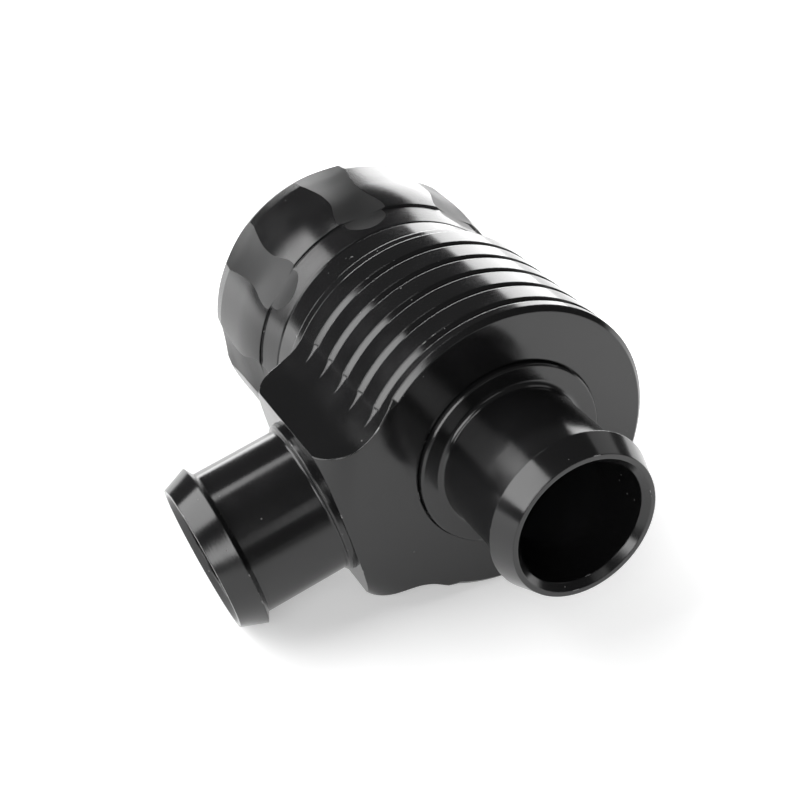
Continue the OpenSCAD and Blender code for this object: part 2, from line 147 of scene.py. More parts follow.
class ValveScallops(bpy.types.PropertyGroup):
    """Scallops round the cap."""
    count: IntProperty(
        name="Count", description="Number of scallops", min=6, max=10, default=8)
    phase: FloatProperty(
        name="Phase", description="Angle of the first scallop round the cap",
        subtype="ANGLE", default=math.radians(-83.5))
    hollow: FloatProperty(
        name="Hollow", description="Radius of the scallop's hollow seen along the axis",
        unit="LENGTH", min=0.008, max=0.04, default=0.021, precision=4)


class ValveStage(bpy.types.PropertyGroup):
    """Studio round the valve."""
    floor: FloatVectorProperty(
        name="Floor", description="Colour of the floor",
        subtype="COLOR", size=3, min=0, max=1, default=(0.82, 0.82, 0.82))
    room: FloatProperty(
        name="Room", description="Level of the room above the floor",
        subtype="FACTOR", min=0, max=2, default=0.09)
    fill: FloatProperty(
        name="Fill", description="Even light that fills the shadows",
        subtype="FACTOR", min=0, max=2, default=0.15)
    key_box: FloatProperty(
        name="Key box", description="Power of the large soft box on the left",
        unit="POWER", min=0, max=50, default=12.8)
    top_box: FloatProperty(
        name="Top box", description="Power of the small soft box overhead",
        unit="POWER", min=0, max=50, default=0.6)
    back_box: FloatProperty(
        name="Back box", description="Power of the soft box behind the valve",
        unit="POWER", min=0, max=50, default=8.3)
    right_box: FloatProperty(
        name="Right box", description="Power of the soft box on the right",
        unit="POWER", min=0, max=50, default=1.0)
    front_box: FloatProperty(
        name="Front box", description="Power of the small soft box in front",
        unit="POWER", min=0, max=50, default=4.2)
    front_strip: FloatProperty(
        name="Front strip", description="Power of the dim strip in front",
        unit="POWER", min=0, max=50, default=0.25)


class ValveSettings(bpy.types.PropertyGroup):
    """All settings of the valve."""
    finish: PointerProperty(type=ValveFinish)
    spring: PointerProperty(type=ValveSpring)
    thread: PointerProperty(type=ValveThread)
    scallops: PointerProperty(type=ValveScallops)
    stage: PointerProperty(type=ValveStage)


# ---------------------------------------------------------------- shader helpers

# The Mix node's sockets for colours
MIX_ONE, MIX_TWO, MIX_RESULT = 6, 7, 2
WHITE = (1.0, 1.0, 1.0, 1.0)


def shader(name):
    """Make a material and return it with its tree and its Principled node."""
    material = bpy.data.materials.new(name)
    material.use_nodes = True
    return material, material.node_tree, material.node_tree.nodes["Principled BSDF"]


def plug(tree, socket, value):
    """Link a socket to an output, or set its value."""
    if isinstance(value, bpy.types.NodeSocket):
        tree.links.new(value, socket)
    else:
        socket.default_value = value


def add(tree, kind, **sockets):
    """Add a node and fill its sockets, named by their words or as i0, i1 and so on."""
    made = tree.nodes.new(kind)
    for key, value in sockets.items():
        spot = int(key[1:]) if key[1:].isdigit() else key.replace("_", " ")
        plug(tree, made.inputs[spot], value)
    return made


def maths(tree, operation, *terms):
    """Add a Math node."""
    made = add(tree, "ShaderNodeMath", **{f"i{k}": term for k, term in enumerate(terms)})
    made.operation = operation
    return made.outputs[0]


def vectors(tree, operation, *terms):
    """Add a Vector Math node and return the output that its operation fills."""
    made = add(tree, "ShaderNodeVectorMath", **{f"i{k}": term for k, term in enumerate(terms)})
    made.operation = operation
    return made.outputs["Value" if operation in {"DOT_PRODUCT", "LENGTH"} else "Vector"]


def noise(tree, place, **sockets):
    """Add a Noise Texture and return its grey value."""
    return add(tree, "ShaderNodeTexNoise", Vector=place, **sockets).outputs["Fac"]


def spread(tree, value, source, target):
    """Map a value smoothly from one range to another."""
    made = add(tree, "ShaderNodeMapRange", Value=value, From_Min=source[0], From_Max=source[1],
               To_Min=target[0], To_Max=target[1])
    made.interpolation_type = "SMOOTHSTEP"
    return made.outputs["Result"]


def tint(tree, factor, one, two):
    """Mix two colours."""
    made = tree.nodes.new("ShaderNodeMix")
    made.data_type = "RGBA"
    plug(tree, made.inputs["Factor"], factor)
    plug(tree, made.inputs[MIX_ONE], one)
    plug(tree, made.inputs[MIX_TWO], two)
    return made.outputs[MIX_RESULT]


def object_place(tree):
    """Return the shaded point in the piece's own axes."""
    return add(tree, "ShaderNodeTexCoord").outputs["Object"]


def turned(tree, point, axis):
    """Return radius and height of the shaded point on a turned piece, and the point itself."""
    here = object_place(tree)
    away = vectors(tree, "SUBTRACT", here, tuple(point))
    height = vectors(tree, "DOT_PRODUCT", away, tuple(axis))
    along = add(tree, "ShaderNodeCombineXYZ", X=maths(tree, "MULTIPLY", height, axis[0]),
                Y=maths(tree, "MULTIPLY", height, axis[1]),
                Z=maths(tree, "MULTIPLY", height, axis[2]))
    radius = vectors(tree, "LENGTH", vectors(tree, "SUBTRACT", away, along.outputs[0]))
    return radius, height, here


def turning_marks(tree, point, axis, pitch):
    """Return the relief of turning marks that wander round the piece, and the shaded point."""
    drift = 5.0
    radius, height, here = turned(tree, point, axis)
    wander = noise(tree, here, Scale=60.0, Detail=1.0)
    place = add(tree, "ShaderNodeCombineXYZ", X=maths(tree, "DIVIDE", radius, pitch),
                Y=maths(tree, "DIVIDE", height, pitch), Z=maths(tree, "MULTIPLY", wander, drift))
    return noise(tree, place.outputs[0], Scale=1.0, Detail=3.0, Roughness=0.65), here


def across_marks(tree, point, axis):
    """Return the direction on the surface that runs across the turning marks."""
    shape = add(tree, "ShaderNodeNewGeometry")
    away = vectors(tree, "SUBTRACT", shape.outputs["Position"], tuple(point))
    round_way = vectors(tree, "NORMALIZE", vectors(tree, "CROSS_PRODUCT", tuple(axis), away))
    return vectors(tree, "CROSS_PRODUCT", shape.outputs["Normal"], round_way)


# ---------------------------------------------------------------- finishes

# Where the clouds of a finish start and end, and the depth of turning marks in metres
CLOUDS = (0.3, 0.7)
MARK_DEPTH = 0.00004

# Anodised skin: relief of its marks and grain, and its specks of dust
MARK_RELIEF, GRAIN_RELIEF = 0.16, 0.35
SPECK_SHARE, SPECK_SIZE, SPECK_ROUGHNESS = 0.045, 0.22, 0.3
# Edges: how far the surface turns, and how strong the noise is, between no wear and full wear
WORN_TURN, WORN_CLOUDS, WORN_PATCHES, WORN_MOST = (0.04, 0.3), (0.4, 0.7), (0.2, 1.0), 0.35
CHIP_TURN, CHIP_FLAWS = (0.03, 0.1), (0.66, 0.7)
WORN_BLACK = (0.06, 0.06, 0.062, 1.0)
# Oil on the neck: strength of its smears, colour and soft border in metres
OIL_SMEARS, OIL_MOST, OIL_BORDER = (0.69, 0.75), 0.8, 0.0002
OIL_GREY = (0.3, 0.3, 0.3, 1.0)
# Roughness below and above the middle one
GLOSSIER, DULLER = 0.03, 0.04
ANODISE_IOR = 1.56

# The neck between body and cap, heights along the main axis in metres
NECK = (0.0316, 0.0384)


def dust_specks(tree, here, cloud, specks):
    """Return a factor that is one on scattered specks of dust."""
    cells = add(tree, "ShaderNodeTexVoronoi", Vector=here, Scale=900.0)
    chance = vectors(tree, "DOT_PRODUCT", cells.outputs["Color"], (1, 0, 0))
    picked = maths(tree, "LESS_THAN", chance, SPECK_SHARE)
    dot = maths(tree, "LESS_THAN", cells.outputs["Distance"],
                maths(tree, "MULTIPLY", cloud, SPECK_SIZE))
    return maths(tree, "MULTIPLY", maths(tree, "MULTIPLY", picked, dot), specks)


def neck_oil(tree, here, height, neck):
    """Return a factor that is strong on oil smears between two heights."""
    low, high = neck
    zone = maths(tree, "MULTIPLY", spread(tree, height, (low - OIL_BORDER, low), (0.0, 1.0)),
                 spread(tree, height, (high, high + OIL_BORDER), (1.0, 0.0)))
    smear = noise(tree, here, Scale=330.0, Detail=4.0, Roughness=0.6)
    return maths(tree, "MULTIPLY", zone, spread(tree, smear, OIL_SMEARS, (0.0, OIL_MOST)))


def black_anodise(name, point, axis, finish, marks=1.0, brushed=1.0, specks=1.0, satin=0.0,
                  neck=None):
    """Satin black anodised aluminium with turning marks, dust, worn edges and oil on a neck."""
    material, tree, skin = shader(name)
    lines, here = turning_marks(tree, point, axis, finish.mark_pitch)
    grain = noise(tree, here, Scale=7000.0, Detail=1.0)
    cloud = noise(tree, here, Scale=140.0, Detail=3.0)
    flaw = noise(tree, here, Scale=520.0, Detail=2.0)
    edge = add(tree, "ShaderNodeBevel", Radius=finish.edge)
    edge.samples = 6
    relief = maths(tree, "MULTIPLY_ADD", grain, GRAIN_RELIEF, lines)
    bump = add(tree, "ShaderNodeBump", Strength=MARK_RELIEF * marks, Distance=MARK_DEPTH,
               Height=relief, Normal=edge.outputs[0])
    dust = dust_specks(tree, here, cloud, specks)
    normal = add(tree, "ShaderNodeNewGeometry").outputs["Normal"]
    turn = maths(tree, "SUBTRACT", 1.0, vectors(tree, "DOT_PRODUCT", edge.outputs[0], normal))
    worn = maths(tree, "MULTIPLY", spread(tree, turn, WORN_TURN, (0.0, WORN_MOST)),
                 spread(tree, cloud, WORN_CLOUDS, WORN_PATCHES))
    chip = maths(tree, "MULTIPLY", spread(tree, turn, CHIP_TURN, (0.0, 1.0)),
                 spread(tree, flaw, CHIP_FLAWS, (0.0, 1.0)))
    colour = tint(tree, worn, (*finish.black, 1.0), WORN_BLACK)
    colour = tint(tree, chip, colour, (*finish.bare, 1.0))
    colour = tint(tree, dust, colour, (*finish.dust, 1.0))
    if neck:
        height = turned(tree, point, axis)[1]
        colour = tint(tree, neck_oil(tree, here, height, neck), colour, OIL_GREY)
    middle = finish.satin + satin
    rough = maths(tree, "ADD", spread(tree, cloud, CLOUDS, (middle - GLOSSIER, middle + DULLER)),
                  maths(tree, "MULTIPLY", dust, SPECK_ROUGHNESS))
    plug(tree, skin.inputs["Base Color"], colour)
    plug(tree, skin.inputs["Roughness"], rough)
    plug(tree, skin.inputs["Normal"], bump.outputs[0])
    plug(tree, skin.inputs["Tangent"], across_marks(tree, point, axis))
    skin.inputs["Anisotropic"].default_value = finish.brushed * brushed
    skin.inputs["IOR"].default_value = ANODISE_IOR
    return material


def turned_metal(name, colour, rough, metallic, pitch):
    """Bare or hard anodised turned metal."""
    shade, glossier, duller = 0.8, 0.05, 0.06
    material, tree, skin = shader(name)
    lines, here = turning_marks(tree, MAIN_POINT, MAIN_AXIS, pitch)
    cloud = noise(tree, here, Scale=180.0, Detail=3.0)
    bump = add(tree, "ShaderNodeBump", Strength=0.2, Distance=MARK_DEPTH, Height=lines)
    dark = tuple(shade * part for part in colour)
    plug(tree, skin.inputs["Base Color"], tint(tree, cloud, (*dark, 1.0), (*colour, 1.0)))
    plug(tree, skin.inputs["Roughness"],
         spread(tree, cloud, CLOUDS, (rough - glossier, rough + duller)))
    plug(tree, skin.inputs["Normal"], bump.outputs[0])
    skin.inputs["Metallic"].default_value = metallic
    return material


def moulded_rubber(name):
    """Moulded black rubber of the seals."""
    dark, pale = (0.014, 0.014, 0.014, 1.0), (0.028, 0.028, 0.027, 1.0)
    material, tree, skin = shader(name)
    grain = noise(tree, object_place(tree), Scale=2600.0, Detail=3.0)
    bump = add(tree, "ShaderNodeBump", Strength=0.3, Distance=0.00003, Height=grain)
    plug(tree, skin.inputs["Base Color"], tint(tree, grain, dark, pale))
    plug(tree, skin.inputs["Roughness"], spread(tree, grain, CLOUDS, (0.48, 0.62)))
    plug(tree, skin.inputs["Normal"], bump.outputs[0])
    return material


def drawn_wire(name):
    """Drawn spring wire with fine streaks."""
    dark, pale = (0.36, 0.365, 0.38, 1.0), (0.56, 0.565, 0.58, 1.0)
    stretch = (200, 6000, 200)
    material, tree, skin = shader(name)
    place = vectors(tree, "MULTIPLY", object_place(tree), stretch)
    streak = noise(tree, place, Scale=1.0, Detail=2.0)
    bump = add(tree, "ShaderNodeBump", Strength=0.15, Distance=0.00003, Height=streak)
    plug(tree, skin.inputs["Base Color"], tint(tree, streak, dark, pale))
    plug(tree, skin.inputs["Roughness"], spread(tree, streak, CLOUDS, (0.22, 0.36)))
    plug(tree, skin.inputs["Normal"], bump.outputs[0])
    skin.inputs["Metallic"].default_value = 1.0
    return material


def wear(material, *names):
    """Put a material on CAD nodes."""
    for name in names:
        slots = frame["nodes"][name].data.materials
        slots.clear()
        slots.append(material)


class VALVE_OT_black_pieces(bpy.types.Operator):
    """Give the body, the spigots, the cap and the nipple their black anodise"""
    bl_idname = "valve.black_pieces"
    bl_label = "Finish Black Pieces"

    def execute(self, context):
        finish = context.scene.valve.finish
        main = (MAIN_POINT, MAIN_AXIS, finish)
        side = (SIDE_POINT, SIDE_AXIS, finish)
        wear(black_anodise("ribbed_body_black", *main, marks=0.25, brushed=0.35, satin=-0.05,
                           neck=NECK), "valve_body")
        wear(black_anodise("scalloped_cap_black", *main, marks=1.6), "top_cap")
        black_anodise("milled_scallop_black", *main, marks=0.4, brushed=0.0, satin=0.3)
        wear(black_anodise("inlet_black", *main, marks=0.3, brushed=0.4, satin=-0.03),
             "inlet_spigot")
        wear(black_anodise("side_spigot_black", *side, marks=1.6), "outlet_spigot")
        wear(black_anodise("nipple_black", *main, specks=0.0), "vacuum_nipple")
        return {"FINISHED"}


class VALVE_OT_inner_pieces(bpy.types.Operator):
    """Finish the piston, the washer, the shim and the seals"""
    bl_idname = "valve.inner_pieces"
    bl_label = "Finish Inner Pieces"

    def execute(self, context):
        wear(turned_metal("piston_grey_anodise", colour=(0.3, 0.31, 0.33), rough=0.36,
                          metallic=0.4, pitch=0.0004), "piston")
        wear(turned_metal("plain_turned_aluminium", colour=(0.72, 0.73, 0.75), rough=0.3,
                          metallic=1.0, pitch=0.0003), "nipple_washer", "spring_shim")
        wear(moulded_rubber("seal_rubber"), "inlet_spigot_seal", "outlet_spigot_seal", "cap_seal",
             "piston_ring_lower", "piston_ring_upper", "piston_nose_seal")
        return {"FINISHED"}


# ---------------------------------------------------------------- spring

# Steps of the wire in one turn, and how much thinner it is drawn so that it clears its seats
COIL_STEPS, WIRE_CLEARANCE = 60, 0.99


def solid(name, corners, faces):
    """Make a closed mesh object whose faces look outward."""
    mesh = bpy.data.meshes.new(name)
    mesh.from_pydata(corners, [], faces)
    mesh.validate()
    sheet = bmesh.new()
    sheet.from_mesh(mesh)
    bmesh.ops.recalc_face_normals(sheet, faces=sheet.faces)
    sheet.to_mesh(mesh)
    sheet.free()
    made = bpy.data.objects.new(name, mesh)
    bpy.context.scene.collection.objects.link(made)
    return made


def coil_wire(name, points, radius, sides=12):
    """Sweep a round wire with capped ends along points."""
    last = len(points) - 1
    corners = []
    for k, point in enumerate(points):
        ahead = (points[min(k + 1, last)] - points[max(k - 1, 0)]).normalized()
        out = point - MAIN_POINT
        out = (out - ahead * out.dot(ahead)).normalized()
        across = ahead.cross(out)
        for j in range(sides):
            angle = 2 * math.pi * j / sides
            corners.append(point + radius * (math.cos(angle) * out + math.sin(angle) * across))
    faces = [(i * sides + j, i * sides + (j + 1) % sides,
              (i + 1) * sides + (j + 1) % sides, (i + 1) * sides + j)
             for i in range(last) for j in range(sides)]
    faces.append(tuple(range(sides - 1, -1, -1)))
    faces.append(tuple(range(last * sides, len(corners))))
    made = solid(name, corners, faces)
    made.data.shade_smooth()
    return made


class VALVE_OT_return_spring(bpy.types.Operator):
    """Wind the return spring between the piston and the cap's shim"""
    bl_idname = "valve.return_spring"
    bl_label = "Wind Return Spring"

    def execute(self, context):
        spring = context.scene.valve.spring
        low, high = (Vector(corner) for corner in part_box("return_spring"))
        length = high.y - low.y
        radius = spring.wire / 2
        coil = (high.x - low.x) / 2 - radius
        # One closed coil at each end, then the open coils share what is left of the length
        turns = spring.open_coils + 2
        rise = (length - 3 * spring.wire) / spring.open_coils
        points = []
        for k in range(turns * COIL_STEPS + 1):
            turn = k / COIL_STEPS
            lifted = min(max(turn - 1, 0), spring.open_coils)
            closed = min(turn, 1) + max(turn - 1 - spring.open_coils, 0)
            angle = 2 * math.pi * turn
            points.append(Vector((MAIN_POINT.x + coil * math.cos(angle),
                                  low.y + radius + closed * spring.wire + lifted * rise,
                                  MAIN_POINT.z - coil * math.sin(angle))))
        wire = coil_wire("return_spring_wire", points, radius * WIRE_CLEARANCE)
        wire.data.materials.append(drawn_wire("drawn_spring_wire"))
        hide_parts("return_spring")
        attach(wire, "housing")
        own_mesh(wire)
        return {"FINISHED"}


# ---------------------------------------------------------------- cap

# Half section of the cap in millimetres, radius and height in the valve's own axes: up the
# outside over skirt, lands and crown, then back through the inside
SKIRT = ((23.2, 38.4), (23.5, 38.7), (24.207, 43.85))
LANDS = ((24.554, 43.85), (25.497, 51.8), (25.497, 59.7), (25.0, 62.65))
CROWN = (22.4, 67.2)
INSIDE = ((3.05, 67.2), (3.05, 59.5), (16.5, 59.5), (16.5, 25.6), (20.5, 25.6), (20.5, 27),
          (19.9, 27), (19.9, 34), (20.5, 34), (20.5, 35.32), (18.9, 35.32), (18.9, 37.08),
          (20.5, 37.08), (20.5, 38.4))
# Radius of the arc by which the lands swell from the step to their full width
SWELL = 34.0
# Floor of a scallop along its middle, height and radius, past both of its ends
SCALLOP_FLOOR = ((37, 23.72), (38.5, 23.7), (40.1, 23.68), (41, 23.66), (42, 23.66),
                 (43.5, 23.78), (45, 24.04), (47, 24.5), (49, 24.89), (51, 25.05), (54, 25.03),
                 (57, 24.86), (59.7, 24.62), (62.65, 24.14), (64.5, 23.82), (66, 23.6),
                 (68, 23.35), (70, 23.15))
# A scallop is flatter at the step, over a height, and wider below it, first at once and then
# over another height
STEP_FLATNESS, FLATTER_HEIGHT = 0.78, 6
STEP_WIDENING, FOOT_WIDENING, WIDER_HEIGHT = 1.15, 1.27, 1.6
# How far the step's edge bows up inside a scallop
STEP_BOW = 0.2
# Rows of the mesh beyond the scallops, at their feet, up the lands, up the taper and at their
# upper ends, and its columns inside a scallop and between two
PLAIN_ROWS, FOOT_ROWS, LAND_ROWS, TAPER_ROWS, END_ROWS = 16, 14, 36, 6, 12
INSIDE_COLUMNS, BETWEEN_COLUMNS = 20, 18
SHARP_EDGE = math.radians(8)
HALVINGS = 40


def smooth(share):
    """Ease a share from 0 to 1."""
    share = min(1.0, max(0.0, share))
    return share**2 * (3 - 2 * share)


def scallop_floor(height):
    """Return the radius of a scallop's floor, smoothed between the listed points."""
    points = SCALLOP_FLOOR
    k = next(i for i in range(1, len(points) - 2) if height <= points[i + 1][0])
    (z0, r0), (z1, r1), (z2, r2), (z3, r3) = points[k - 1:k + 3]
    u = (height - z1) / (z2 - z1)
    m1 = (r2 - r0) / (z2 - z0) * (z2 - z1)
    m2 = (r3 - r1) / (z3 - z1) * (z2 - z1)
    return ((2 * u**3 - 3 * u**2 + 1) * r1 + (u**3 - 2 * u**2 + u) * m1
            + (3 * u**2 - 2 * u**3) * r2 + (u**3 - u**2) * m2)


def cap_outline(height, on_skirt):
    """Return the cap's radius at a height, without scallops."""
    (r_foot, z_foot), (r_top, z_top) = SKIRT[1:]
    if on_skirt:
        return r_foot + (r_top - r_foot) * (height - z_foot) / (z_top - z_foot)
    (r_full, z_full), (_, z_taper), (r_rim, z_rim) = LANDS[1:]
    if height <= z_full:
        return r_full - SWELL + math.sqrt(SWELL**2 - (z_full - height)**2)
    if height <= z_taper:
        return r_full
    if height <= z_rim:
        return r_full + (r_rim - r_full) * (height - z_taper) / (z_rim - z_taper)
    return r_rim + (CROWN[0] - r_rim) * (height - z_rim) / (CROWN[1] - z_rim)


def scallop_end(low, high, on_skirt):
    """Return the height where a scallop's floor runs out of the cap, by halving."""
    rising = cap_outline(high, on_skirt) > scallop_floor(high)
    for _ in range(HALVINGS):
        middle = (low + high) / 2
        if (cap_outline(middle, on_skirt) > scallop_floor(middle)) == rising:
            high = middle
        else:
            low = middle
    return high if rising else low


def scallop_reach(height, radius, hollow, below_step):
    """Return half the width of a scallop at a height of the cap."""
    z_step = LANDS[0][1]
    bend = (1 / hollow + 1 / LANDS[1][0]) / 2
    up = smooth((height - z_step) / FLATTER_HEIGHT)
    bend *= STEP_FLATNESS + (1 - STEP_FLATNESS) * up
    reach = math.sqrt((radius - scallop_floor(height)) / bend)
    if below_step:
        down = smooth((z_step - height) / WIDER_HEIGHT)
        reach *= STEP_WIDENING + (FOOT_WIDENING - STEP_WIDENING) * down
    return reach


def cap_rows():
    """List the cap's rows once round its section: height, radius and plain share.

    The plain share is 0 on rows that the scallops cut. On the others it says how evenly the
    columns are spread, up to 1."""
    z_foot, z_step, z_taper = SKIRT[1][1], SKIRT[2][1], LANDS[2][1]
    z_rim, z_crown = LANDS[3][1], CROWN[1]
    foot = scallop_end(z_foot, z_step, True)
    end = scallop_end(z_rim, z_crown, False)

    def row(height, on_skirt, plain=0.0):
        return height, cap_outline(height, on_skirt), plain

    rows = [(z, r, 1.0) for r, z in SKIRT[:2]]
    rows += [row(z_foot + (foot - z_foot) * k / PLAIN_ROWS, True, 1 - k / PLAIN_ROWS)
             for k in range(1, PLAIN_ROWS)]
    rows += [row(foot + (z_step - foot) * (k / FOOT_ROWS)**2, True)
             for k in range(1, FOOT_ROWS + 1)]
    rows += [row(z_step + (z_taper - z_step) * k / LAND_ROWS, False)
             for k in range(LAND_ROWS + 1)]
    rows += [row(z_taper + (z_rim - z_taper) * k / TAPER_ROWS, False)
             for k in range(1, TAPER_ROWS + 1)]
    rows += [row(end - (end - z_rim) * (k / END_ROWS)**2, False)
             for k in range(END_ROWS - 1, 0, -1)]
    rows += [row(end + (z_crown - end) * k / PLAIN_ROWS, False, k / PLAIN_ROWS)
             for k in range(1, PLAIN_ROWS)]
    return rows + [(z, r, 1.0) for r, z in (CROWN, *INSIDE)]


def cap_row_corners(z, r, plain, scallops):
    """Return the corners of one row once round the cap."""
    sector = 2 * math.pi / scallops.count
    full, z_step = LANDS[1][0], LANDS[0][1]
    cut = plain == 0
    on_step = cut and (z, r) == (z_step, cap_outline(z_step, False))
    if cut:
        reach = scallop_reach(z, r, scallops.hollow / MILLIMETRE, z <= z_step and not on_step)
    else:
        reach = plain * full * sector / 4
    half = reach / full
    corners = []
    for k in range(scallops.count):
        middle = scallops.phase + sector * k
        for j in range(INSIDE_COLUMNS + BETWEEN_COLUMNS):
            height, radius = z, r
            if j <= INSIDE_COLUMNS:
                share = 2 * j / INSIDE_COLUMNS - 1
                turn = middle + share * half
                if on_step:
                    height += STEP_BOW * (1 - share**2)
                if cut:
                    radius = scallop_floor(height) + (r - scallop_floor(z)) * share**2
            else:
                turn = middle + half + (j - INSIDE_COLUMNS) / BETWEEN_COLUMNS * (sector - 2 * half)
            place = Vector((radius * math.cos(turn), radius * math.sin(turn), height))
            corners.append(VALVE @ (place * MILLIMETRE))
    return corners


class VALVE_OT_scalloped_cap(bpy.types.Operator):
    """Turn the cap and mill its scallops, which run smoothly from their round feet to the rim"""
    bl_idname = "valve.scalloped_cap"
    bl_label = "Mill Scalloped Cap"

    def execute(self, context):
        scallops = context.scene.valve.scallops
        rows = cap_rows()
        cut_rows = [plain == 0 for _, _, plain in rows]
        corners = [corner for row in rows for corner in cap_row_corners(*row, scallops)]
        wide = INSIDE_COLUMNS + BETWEEN_COLUMNS
        ring = wide * scallops.count
        faces = []
        for i in range(len(rows)):
            low, high = i * ring, (i + 1) % len(rows) * ring
            faces += [(low + j, low + (j + 1) % ring, high + (j + 1) % ring, high + j)
                      for j in range(ring)]
        cap = solid("scalloped_cap", corners, faces)
        cap.data.shade_smooth()
        cap.data.set_sharp_from_angle(angle=SHARP_EDGE)
        sharp = cap.data.attributes["sharp_edge"].data
        for edge in cap.data.edges:
            (low, start), (high, stop) = (divmod(v, ring) for v in edge.vertices)
            on_side = start == stop and start % wide in (0, INSIDE_COLUMNS)
            if on_side and cut_rows[low] and cut_rows[high]:
                sharp[edge.index].value = True
        cap.data.materials.append(bpy.data.materials["scalloped_cap_black"])
        cap.data.materials.append(bpy.data.materials["milled_scallop_black"])
        for face in cap.data.polygons:
            spots = [divmod(v, ring) for v in face.vertices]
            if all(cut_rows[row] and column % wide <= INSIDE_COLUMNS for row, column in spots):
                face.material_index = 1
        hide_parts("top_cap")
        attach(cap, "cap")
        return {"FINISHED"}


# Steps of the thread in one turn, and the share of a turn over which its ends run out
THREAD_STEPS, THREAD_RUN_OUT = 72, 1 / 3
# The thread's ridge: half widths of root and crest in pitches, root sunk in the plug in depths
ROOT_HALF, CREST_HALF, ROOT_SUNK = 0.46, 0.06, -0.1


class VALVE_OT_cap_thread(bpy.types.Operator):
    """Cut the screw thread on the cap's plug"""
    bl_idname = "valve.cap_thread"
    bl_label = "Cut Cap Thread"

    def execute(self, context):
        thread = context.scene.valve.thread
        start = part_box("top_cap")[0][1] + thread.start
        seal_low, seal_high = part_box("cap_seal")
        crest = (seal_high[0] - seal_low[0]) / 2 - thread.room
        last = int((thread.length - thread.pitch) / thread.pitch * THREAD_STEPS)
        run_out = THREAD_STEPS * THREAD_RUN_OUT
        corners = []
        for k in range(last + 1):
            angle = 2 * math.pi * k / THREAD_STEPS
            share = min(1.0, k / run_out, (last - k) / run_out)
            height = start + thread.pitch * (0.5 + k / THREAD_STEPS)
            for out, rise in ((ROOT_SUNK, -ROOT_HALF), (share, -CREST_HALF),
                              (share, CREST_HALF), (ROOT_SUNK, ROOT_HALF)):
                reach = crest - thread.depth * (1 - out)
                corners.append((MAIN_POINT.x + reach * math.cos(angle),
                                height + rise * thread.pitch,
                                MAIN_POINT.z - reach * math.sin(angle)))
        faces = [(4 * i + j, 4 * i + (j + 1) % 4, 4 * i + 4 + (j + 1) % 4, 4 * i + 4 + j)
                 for i in range(last) for j in range(4)]
        faces += [(3, 2, 1, 0), tuple(4 * last + j for j in range(4))]
        ridge = solid("cap_thread", corners, faces)
        ridge.data.materials.append(bpy.data.materials["scalloped_cap_black"])
        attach(ridge, "cap")
        return {"FINISHED"}


# ---------------------------------------------------------------- stage

# Soft boxes: azimuth from the back round by the right and elevation in degrees, width and
# height in metres, roll in degrees
SOFT_BOXES = {
    "key_box": (-68, 36, 0.9, 0.96, 20),
    "top_box": (-30, 65, 0.3, 0.16, 0),
    "back_box": (30, 8, 1.1, 0.5, -25),
    "right_box": (82, 33, 0.9, 0.5, 0),
    "front_box": (-139, 24, 0.42, 0.6, 0),
    "front_strip": (175, 31, 0.3, 0.24, 0),
}
BOX_AIM, BOX_DISTANCE = Vector((0, 0, 0.025)), 1.0

# Floor: half its side, its painted shade far in front, and where that painted shade and its
# painted glow change,
# in metres and shares of full white: the painted shade towards the front, the painted glow towards
# the back and towards the right
FLOOR_HALF, FLOOR_PALER = 3, 1.04
# Painted shade: the floor turns dark grey far in front, where the valve's underside mirrors it
PAINTED_SHADE_COLOUR = (0.12, 0.12, 0.12, 1.0)
PAINTED_SHADE_PLACE, PAINTED_SHADE_SHARE = (-0.3, -0.08), (0.15, 1.0)
# Painted light: the floor glows stronger towards the back and the right, which fades the valve's
# shadow there
BACK_PAINTED_GLOW_PLACE, BACK_PAINTED_GLOW_SHARE = (0.04, 0.25), (0.35, 1.0)
RIGHT_PAINTED_GLOW_PLACE, RIGHT_PAINTED_GLOW_SHARE = (0.015, 0.07), (0.0, 0.5)
# Where the room meets the floor, as the sine of the elevation
HORIZON = (-0.02, 0.04)

# Camera at the photograph's viewing angle, in the valve's own axes and metres, and its focal
# length for a picture of that many pixels
CAMERA_RIGHT = Vector((0.8529, 0.2572, -0.4543))
CAMERA_DOWN = Vector((-0.4749, 0.7437, -0.4705))
CAMERA_AHEAD = Vector((0.2169, 0.617, 0.7565))
CAMERA_PLACE = Vector((-0.06471, -0.16377, -0.17607))
FOCAL_PIXELS, PICTURE_PIXELS, SENSOR_MILLIMETRES = 1560.36, 800, 36
NEAR_CLIP = 0.01


def soft_box(name, power, azimuth, elevation, width, height, roll):
    """Hang a soft box that looks at the valve."""
    lamp = bpy.data.lights.new(name, "AREA")
    lamp.shape = "RECTANGLE"
    lamp.size, lamp.size_y, lamp.energy = width, height, power
    box = bpy.data.objects.new(name, lamp)
    a, e = math.radians(azimuth), math.radians(elevation)
    toward = Vector((math.sin(a) * math.cos(e), math.cos(a) * math.cos(e), math.sin(e)))
    box.location = BOX_AIM + BOX_DISTANCE * toward
    facing = toward.to_track_quat("Z", "Y") @ Quaternion((0, 0, 1), math.radians(roll))
    box.rotation_euler = facing.to_euler()
    box.visible_camera = False
    bpy.context.scene.collection.objects.link(box)


def seen_rays(tree):
    """Return a factor that is one for camera, glossy and transmission rays."""
    rays = add(tree, "ShaderNodeLightPath")
    some = maths(tree, "MAXIMUM", rays.outputs["Is Camera Ray"], rays.outputs["Is Glossy Ray"])
    return maths(tree, "MAXIMUM", some, rays.outputs["Is Transmission Ray"])


